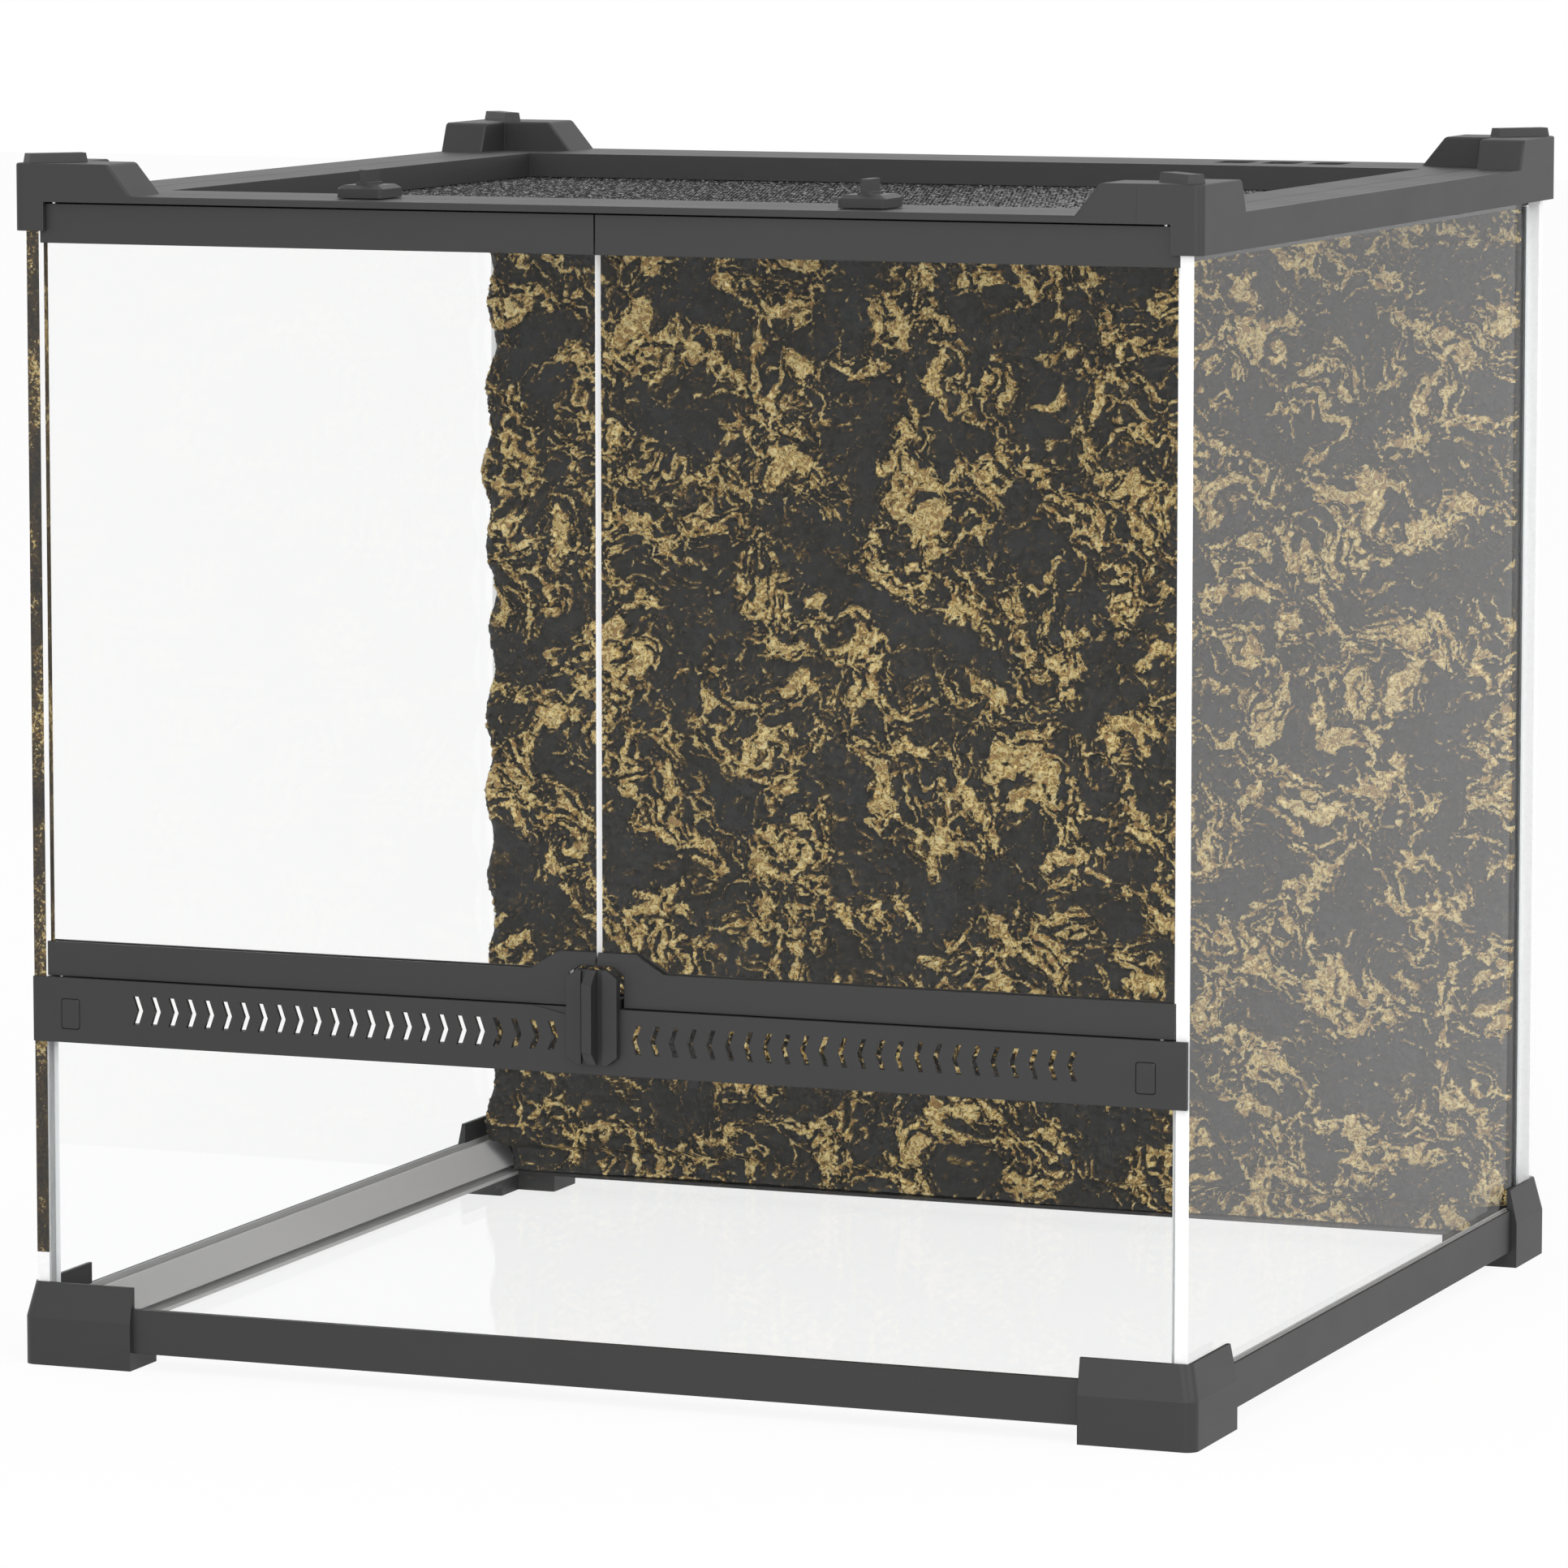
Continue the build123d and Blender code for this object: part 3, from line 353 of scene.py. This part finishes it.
def silicone_rubber():
    material = bpy.data.materials.new("silicone")
    tree = Tree(material)
    shader = tree.add("ShaderNodeBsdfPrincipled")
    shader.inputs["Base Color"].default_value = (0.93, 0.95, 0.95, 1)
    shader.inputs["Transmission Weight"].default_value = 0.75
    shader.inputs["IOR"].default_value = 1.2
    tree.link(tree.map(tree.noise(2.5, 2), 0, 1, 0.25, 0.5), shader.inputs["Roughness"])
    tree.link(tree.bump(tree.noise(4, 1), 0.2), shader.inputs["Normal"])
    tree.link(shader.outputs[0], tree.add("ShaderNodeOutputMaterial").inputs[0])
    return material


def plain_steel():
    material = bpy.data.materials.new("steel")
    tree = Tree(material)
    shader = tree.add("ShaderNodeBsdfPrincipled")
    lines = tree.noise(1.5, 3, where=tree.place((1, 1, 12)))
    tree.link(tree.mix(lines, grey(0.45), grey(0.62)), shader.inputs["Base Color"])
    shader.inputs["Metallic"].default_value = 1.0
    tree.link(tree.map(lines, 0, 1, 0.25, 0.45), shader.inputs["Roughness"])
    tree.link(shader.outputs[0], tree.add("ShaderNodeOutputMaterial").inputs[0])
    return material


def coated_wire():
    """Black-coated wire with painted glints: spots of paler base colour, more of them towards +X, where the
    lamps stand.
    """
    material = bpy.data.materials.new("mesh_wire")
    tree = Tree(material)
    shader = tree.add("ShaderNodeBsdfPrincipled")
    coat = tree.noise(1.9, 2, where=tree.place((1, 0.45, 1)))
    side = tree.add("ShaderNodeSeparateXYZ")
    tree.link(tree.place(), side.inputs[0])
    # Painted glints: spots of paler base colour, growing towards +X, the lamps' side.
    wear_and_glint = tree.math("ADD", coat, tree.map(side.outputs[0], 0.0, 0.16, 0.0, 0.10))
    painted_highlight_share = tree.map(wear_and_glint, 0.50, 0.68, 0, 1)
    tree.link(tree.mix(painted_highlight_share, grey(0.002), grey(0.30)), shader.inputs["Base Color"])
    shader.inputs["Metallic"].default_value = 0.5
    tree.link(tree.map(wear_and_glint, 0.40, 0.66, 0.5, 0.16), shader.inputs["Roughness"])
    tree.link(shader.outputs[0], tree.add("ShaderNodeOutputMaterial").inputs[0])
    return material


stone_warm = (0.019, 0.019, 0.016, 1)
stone_cool = (0.031, 0.034, 0.035, 1)
stone_pit = (0.014, 0.014, 0.012, 1)
gold_stain = (0.150, 0.092, 0.030, 1)
# The next colour is painted shade, between the gold's crumpled ridges.
gold_painted_shade = (0.300, 0.175, 0.050, 1)
gold_plain = (1.0, 0.700, 0.225, 1)
# A painted highlight, on the crests of the gold's ridges.
gold_painted_highlight = (1.0, 0.930, 0.560, 1)


def rock_colours(tree, paint):
    """Charcoal stone under broken gold paint, which lies where paint is over about 0.6. The gold is coloured
    darker between its crumpled ridges, a painted shade, and paler on their crests, a painted highlight.

    Gives the colour, how far the gold covers the stone, its ridges and a fine grain."""
    fine = tree.noise(1.3, 4, 0.62, warp=0.5)
    crisp = tree.noise(0.6, 3, 0.6)
    fold = tree.math("ABSOLUTE", tree.math("SUBTRACT", tree.noise(3.4, 5, 0.62, warp=0.9), 0.5))
    ridge = tree.map(fold, 0.0, 0.09, 1, 0)
    broken = tree.math("ADD", paint, tree.math("MULTIPLY", tree.math("SUBTRACT", fine, 0.5), 1.0))
    covered = tree.map(broken, 0.54, 0.66, 0, 1, smooth=True)
    halo = tree.map(broken, 0.24, 0.60, 0, 1, smooth=True)
    cloud = tree.map(tree.noise(24, 3), 0.35, 0.7, 0, 1)
    stone = tree.mix(cloud, stone_warm, stone_cool)
    stone = tree.mix(tree.map(crisp, 0.42, 0.72, 0, 1), stone, stone_pit)
    stained = tree.mix(tree.math("MULTIPLY", halo, 0.60), stone, gold_stain)
    # Painted shade between the gold's ridges and painted highlights on their crests.
    ochre = tree.mix(tree.map(ridge, 0.05, 0.55, 0, 1), gold_painted_shade, gold_plain)
    painted_highlight_share = tree.math("MULTIPLY", tree.map(ridge, 0.40, 0.85, 0, 1), tree.map(crisp, 0.40, 0.56, 0, 1))
    gold = tree.mix(painted_highlight_share, ochre, gold_painted_highlight)
    return tree.mix(covered, stained, gold), covered, ridge, crisp


def painted_rock():
    """Rough stone with clumps and veins of crumpled gold paint."""
    material = bpy.data.materials.new("rock_relief")
    tree = Tree(material)
    shader = tree.add("ShaderNodeBsdfPrincipled")
    paint = tree.add("ShaderNodeAttribute", attribute_name="paint").outputs["Fac"]
    colour, covered, ridge, crisp = rock_colours(tree, paint)
    tree.link(colour, shader.inputs["Base Color"])
    tree.link(tree.map(covered, 0, 1, 0.55, 0.27), shader.inputs["Roughness"])
    tree.link(tree.map(covered, 0, 1, 0.36, 0.6), shader.inputs["Specular IOR Level"])
    normal = tree.bump(tree.noise(2.4, 5, 0.6, warp=1.0), 1.1)
    crumpled = tree.math("MULTIPLY", ridge, tree.math("ADD", covered, 0.25))
    lumps = tree.math("ADD", crumpled, tree.math("MULTIPLY", crisp, 0.6))
    tree.link(tree.bump(tree.math("ADD", lumps, covered), 0.45, normal), shader.inputs["Normal"])
    tree.link(shader.outputs[0], tree.add("ShaderNodeOutputMaterial").inputs[0])
    return material


# ---------------------------------------------------------------- fractal noise for meshes

lattice = 64


def gradient_noise(u, v, seed):
    """Smooth noise at the points (u, v), about -1 to 1."""
    turn = np.random.default_rng(seed).random((lattice, lattice)) * 2 * np.pi
    slope_u, slope_v = np.cos(turn), np.sin(turn)
    cell_u, cell_v = np.floor(u).astype(int), np.floor(v).astype(int)
    part_u, part_v = u - cell_u, v - cell_v

    def corner(du, dv):
        at = (cell_u + du) % lattice, (cell_v + dv) % lattice
        return slope_u[at] * (part_u - du) + slope_v[at] * (part_v - dv)

    ease_u = part_u ** 3 * (part_u * (6 * part_u - 15) + 10)
    ease_v = part_v ** 3 * (part_v * (6 * part_v - 15) + 10)
    low = corner(0, 0) * (1 - ease_u) + corner(1, 0) * ease_u
    high = corner(0, 1) * (1 - ease_u) + corner(1, 1) * ease_u
    return 1.5 * (low * (1 - ease_v) + high * ease_v)


def fractal(u, v, seed, octaves, gain=0.5):
    total = np.zeros_like(u)
    strength, scale = 1.0, 1.0
    for octave in range(octaves):
        total += strength * gradient_noise(u * scale + 7.3 * octave, v * scale + 3.1 * octave, seed + octave)
        strength *= gain
        scale *= 2.03
    return total


def smooth(low, high, value):
    share = np.clip((value - low) / (high - low), 0, 1)
    return share * share * (3 - 2 * share)


# ---------------------------------------------------------------- backdrop

relief_step_mm = 0.7
rock_depth_mm = 6.0        # the swells of the rock face, as in the solid
rock_turns_x, rock_turns_z, rock_bend = 3.6, 3.1, 1.3
backdrop_thick_mm = 24.6
swells, lobes, wave_mm = 4, 12, 1.9     # waves of the torn left edge
torn_inset, swell_share, lobe_share = 1.2, 0.3, 0.9     # in waves
nibble_mm = 0.2            # fine unevenness of the torn edge
vein_rise_mm = 1.5         # of the painted veins over the stone
pit_depth_mm = 1.7
edge_round_mm = 5.0
gold_share = 0.295         # of the rock face
paint_level = 0.60         # from which the gold covers the stone
no_paint = -1.0            # on the back and the ends
heel_mm = 3.0
clearance_mm = 0.3


def paint_pattern(x, z):
    """How thick the gold paint lies at places in millimetres, before it is levelled to paint_level."""
    bend_x = fractal(x / 44, z / 44, 11, 3) * 10 + fractal(x / 10, z / 10, 15, 3) * 2.6
    bend_z = fractal(x / 44, z / 44, 31, 3) * 10 + fractal(x / 10, z / 10, 35, 3) * 2.6
    u, v = x + bend_x, z + bend_z
    along, over = (u - v) * 0.7071, (u + v) * 0.7071
    here = smooth(-0.60, 0.30, fractal(u / 36, v / 32, 51, 2))
    wide = smooth(-0.05, 0.50, fractal(u / 18, v / 15, 61, 2))
    vein = np.exp(-(fractal(along / 34, over / 24, 71, 3) / (0.05 + 0.12 * wide)) ** 2)
    branch = np.exp(-(fractal(over / 15, along / 19, 91, 3) / (0.055 + 0.10 * wide)) ** 2)
    lace = np.exp(-(fractal(u / 6.4, v / 5.6, 111, 2) / 0.18) ** 2)
    fringe = np.exp(-(fractal(u / 3.0, v / 2.7, 115, 2) / 0.22) ** 2)
    patch = smooth(0.28, 0.56, fractal(along / 15, over / 8.5, 121, 3))
    rag = fractal(u / 2.6, v / 2.4, 131, 3, 0.65)
    solid = np.maximum(vein * (0.48 + 0.62 * here), branch * (0.24 + 0.70 * here))
    solid = np.maximum(solid, patch * (0.16 + 0.60 * here))
    thin = lace * (0.16 + 0.52 * here) * (0.45 + solid) + fringe * (0.12 + 0.34 * here)
    return solid * 0.82 + thin + 0.48 * rag


def rock_face(across, up):
    """How far the rock face lies behind its crests, in millimetres."""
    turn_x = 2 * np.pi * rock_turns_x * across
    turn_z = 2 * np.pi * rock_turns_z * up
    first = np.sin(turn_x + rock_bend * np.sin(turn_z))
    second = np.sin(turn_z + rock_bend * np.sin(0.5 * turn_x + 1))
    return rock_depth_mm * (2 - first - second) / 4


def make_backdrop():
    low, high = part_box("backdrop")
    lip_half = -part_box("bottom_rail_left")[1].x / MM - clearance_mm
    lip_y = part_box("bottom_rail_rear")[0].y / MM - clearance_mm
    lip_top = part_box("bottom_rail_rear")[1].z / MM - 0.7
    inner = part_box("pane_right")[0].x / MM
    half = inner - 2 * clearance_mm
    z0, z1 = low.z / MM, high.z / MM
    y1 = high.y / MM
    crest = y1 - backdrop_thick_mm
    rows = int((z1 - z0) / relief_step_mm)
    columns = int(2 * half / relief_step_mm)
    share = np.linspace(0, 1, rows + 1)
    height = z0 + share * (z1 - z0)
    turn = 2 * np.pi * share
    waves = torn_inset + swell_share * np.sin(swells * turn - 1) + lobe_share * np.sin(lobes * turn + 1)
    torn = half - wave_mm * waves
    torn = torn + nibble_mm * gradient_noise(height / 9, height * 0 + 0.5, 7)
    lip = lip_half + np.clip((height - lip_top) * 30, 0, None)
    left = -np.minimum(np.minimum(torn, half), lip)
    right = np.minimum(half, lip)
    across = np.linspace(0, 1, columns + 1)
    x = left[:, None] + (right - left)[:, None] * across[None, :]
    z = np.repeat(height[:, None], columns + 1, 1)
    paint = paint_pattern(x, z)
    paint += paint_level - np.quantile(paint, 1 - gold_share)
    stone = fractal(x / 9, z / 7.5, 231, 4, 0.6)
    depth = vein_rise_mm * (1 - smooth(0.2, 0.8, paint)) + pit_depth_mm * smooth(-0.2, 0.9, np.abs(stone))
    wear_and_glint = np.clip((x - left[:, None]) / edge_round_mm, 0, 1)
    depth = depth - 1.0 + edge_round_mm * (1 - np.sqrt(1 - (1 - wear_and_glint) ** 2))
    y = crest + rock_face((x / inner + 1) / 2, share[:, None]) + depth
    y = np.clip(y, low.y / MM, y1 - 2 * heel_mm)
    back_y = np.where(height < lip_top, lip_y, y1)
    front = np.stack([x, y, z], -1).reshape(-1, 3)
    chains = []
    for edge_x, side in ((left, 1), (right, -1)):
        chains.append(np.stack([edge_x, back_y - heel_mm, height], -1))
        chains.append(np.stack([edge_x + side * heel_mm, back_y, height], -1))
    points = np.concatenate([front] + chains) * MM
    count = (rows + 1) * (columns + 1)
    j, i = np.meshgrid(np.arange(rows), np.arange(columns), indexing="ij")
    start = (j * (columns + 1) + i).ravel()
    above = start + columns + 1
    faces = np.stack([start, start + 1, above + 1, above], -1).tolist()
    left_a, left_b, right_a, right_b = (count + k * (rows + 1) for k in range(4))
    for row in range(rows):
        first, last = row * (columns + 1), row * (columns + 1) + columns
        first_up, last_up = first + columns + 1, last + columns + 1
        faces.append([first_up, left_a + row + 1, left_a + row, first])
        faces.append([left_a + row + 1, left_b + row + 1, left_b + row, left_a + row])
        faces.append([left_b + row + 1, right_b + row + 1, right_b + row, left_b + row])
        faces.append([right_b + row + 1, right_a + row + 1, right_a + row, right_b + row])
        faces.append([right_a + row + 1, last_up, last, right_a + row])
    for row, flip in ((0, False), (rows, True)):
        line = list(range(row * (columns + 1), (row + 1) * (columns + 1)))
        loop = line[::-1] + [left_a + row, left_b + row, right_b + row, right_a + row]
        faces.append(loop[::-1] if flip else loop)
    mesh = bpy.data.meshes.new("backdrop_relief")
    mesh.from_pydata(points.tolist(), [], faces)
    attribute = mesh.attributes.new("paint", "FLOAT", "POINT")
    bare = np.full(4 * (rows + 1), no_paint)
    attribute.data.foreach_set("value", np.concatenate([paint.ravel(), bare]).astype(np.float32))
    mesh.polygons.foreach_set("use_smooth", np.ones(len(mesh.polygons), bool))
    mesh.materials.append(painted_rock())
    relief = bpy.data.objects.new("backdrop_relief", mesh)
    bpy.context.scene.collection.objects.link(relief)
    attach(relief, "tank")
    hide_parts("backdrop")


# ---------------------------------------------------------------- woven mesh

wire_pitch_mm = 2.3
wire_half_mm = 0.20        # half the wire's thickness
weave_mm = 0.20            # half the height between over and under


def make_woven_mesh():
    low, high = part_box("lid_mesh")
    x0, x1, y0, y1 = (v / MM for v in (low.x, high.x, low.y, high.y))
    middle_z = (low.z + high.z) / 2 / MM
    along_x = np.arange(x0 + wire_pitch_mm / 2, x1, wire_pitch_mm)
    along_y = np.arange(y0 + wire_pitch_mm / 2, y1, wire_pitch_mm)
    points, faces = [], []
    ring = [(0, -1), (1, 0), (0, 1), (-1, 0)]
    for axis, own, other, ends in ((0, along_y, along_x, (x0, x1)), (1, along_x, along_y, (y0, y1))):
        run = np.concatenate([[ends[0]], other, [ends[1]]])
        for number, level in enumerate(own):
            base = len(points)
            for step, along in enumerate(run):
                over = 1 if (number + step + axis) % 2 else -1
                if step in (0, len(run) - 1):
                    over = 0
                for sideways, up in ring:
                    z = middle_z + over * weave_mm + up * wire_half_mm
                    across = level + sideways * wire_half_mm
                    points.append((along, across, z) if axis == 0 else (across, along, z))
            for step in range(len(run) - 1):
                for k in range(4):
                    a = base + 4 * step + k
                    b = base + 4 * step + (k + 1) % 4
                    quad = (a, b, b + 4, a + 4)
                    faces.append(quad if axis else quad[::-1])
            last = base + 4 * (len(run) - 1)
            first_cap = (base, base + 1, base + 2, base + 3)
            last_cap = (last + 3, last + 2, last + 1, last)
            faces.append(first_cap[::-1] if axis else first_cap)
            faces.append(last_cap[::-1] if axis else last_cap)
    mesh = bpy.data.meshes.new("woven_mesh")
    mesh.from_pydata((np.array(points) * MM).tolist(), [], faces)
    mesh.polygons.foreach_set("use_smooth", np.ones(len(mesh.polygons), bool))
    mesh.materials.append(coated_wire())
    woven = bpy.data.objects.new("woven_mesh", mesh)
    bpy.context.scene.collection.objects.link(woven)
    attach(woven, "lid")
    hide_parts("lid_mesh")


# ---------------------------------------------------------------- dressing the carried-over pieces

def dress():
    rail = moulded_plastic("frame_plastic", frame_level, frame_rough)
    fitting = moulded_plastic("fittings_plastic", fitting_level, fitting_rough, 0.4, 0.3)
    inner_half = -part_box("pane_left")[0].x + 0.5 * MM
    # the insides of these rails get painted light
    side_rail = moulded_plastic("side_rail_plastic", frame_level, frame_rough, painted_light_within=inner_half)
    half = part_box("top_frame_right")[1].x
    places = [half - inset * MM for inset in rail_highlight_lines_mm]
    # the tops of these rails carry painted highlight lines
    lined = moulded_plastic("lined_plastic", frame_level, frame_rough, highlight_line_places=places)
    rubber = silicone_rubber()
    steel = plain_steel()
    panes = {
        # the left pane and the doors carry the painted reflection on their front left edges
        "pane_left": clear_glass("glass_left", 1.10, 0, 0.9, painted_reflection_edge=True),
        "pane_right": clear_glass("glass_right", 1.135, 0, 0.9, calm_from=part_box("backdrop")[0].y),
        "pane_rear": clear_glass("glass_rear", 1.12, 1, 0.6),
        "pane_front": clear_glass("glass_front", 1.15, 1, 0.6),
        "pane_floor": clear_glass("glass_floor", 1.026, tint=0.985),
        "door_pane_left": clear_glass("glass_doors", 1.18, 1, 0.9, painted_reflection_edge=True),
    }
    panes["door_pane_right"] = panes["door_pane_left"]
    for name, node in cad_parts.items():
        if name in panes:
            material = panes[name]
        elif name.startswith("silicone"):
            material = rubber
        elif name.startswith("hinge_pin") or name == "front_latch_retainer":
            material = steel
        elif "latch" in name or "knob" in name or "cam" in name or name.startswith("vent_cover"):
            material = fitting
        elif name in ("bottom_rail_left", "bottom_rail_right"):
            material = side_rail
        elif name in ("top_frame_left", "top_frame_right"):
            material = lined
        else:
            material = rail
        node.data.materials.clear()
        node.data.materials.append(material)


# ---------------------------------------------------------------- the scene

make_camera()
make_world()
make_floor()
for lamp in lamps:
    make_lamp(*lamp)
dress()
make_backdrop()
make_woven_mesh()

scene = bpy.context.scene
scene.view_settings.view_transform = "Standard"

bpy.context.view_layer.update()
